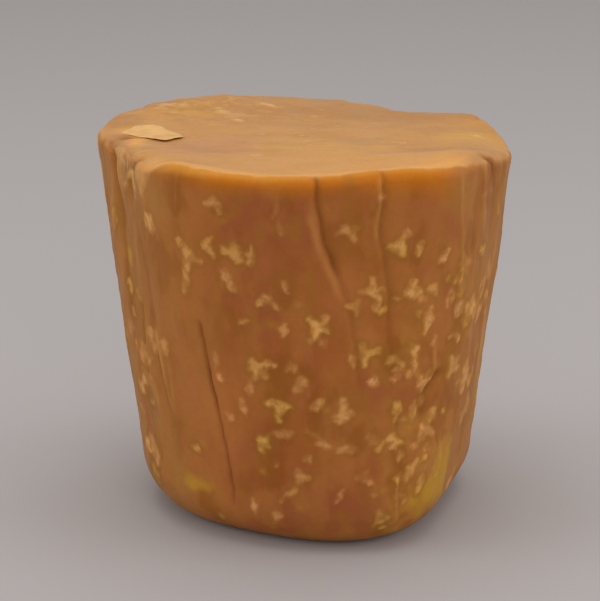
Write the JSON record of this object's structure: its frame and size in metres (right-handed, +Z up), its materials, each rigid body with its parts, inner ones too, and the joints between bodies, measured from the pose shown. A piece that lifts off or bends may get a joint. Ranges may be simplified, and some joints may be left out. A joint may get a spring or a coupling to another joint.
{
  "type": "jaggery block",
  "caption": "Solid block of unrefined cane sugar cast in a lined, tapered bucket mould, standing on its narrow end, with a shallow dished top and creased sides.",
  "frame": {"origin": "centre of the block's own box in plan, at the level of the flat base it stands on", "axes": "+Z up, from the narrow base to the wide top; -Y is the front and +X the right, seen from the front"},
  "size_m": [0.1102, 0.1088, 0.1032],
  "materials": {
    "jaggery": "waxy satin"
  },
  "bodies": {
    "root": {"jaggery_block": "jaggery"}
  },
  "joints": []
}
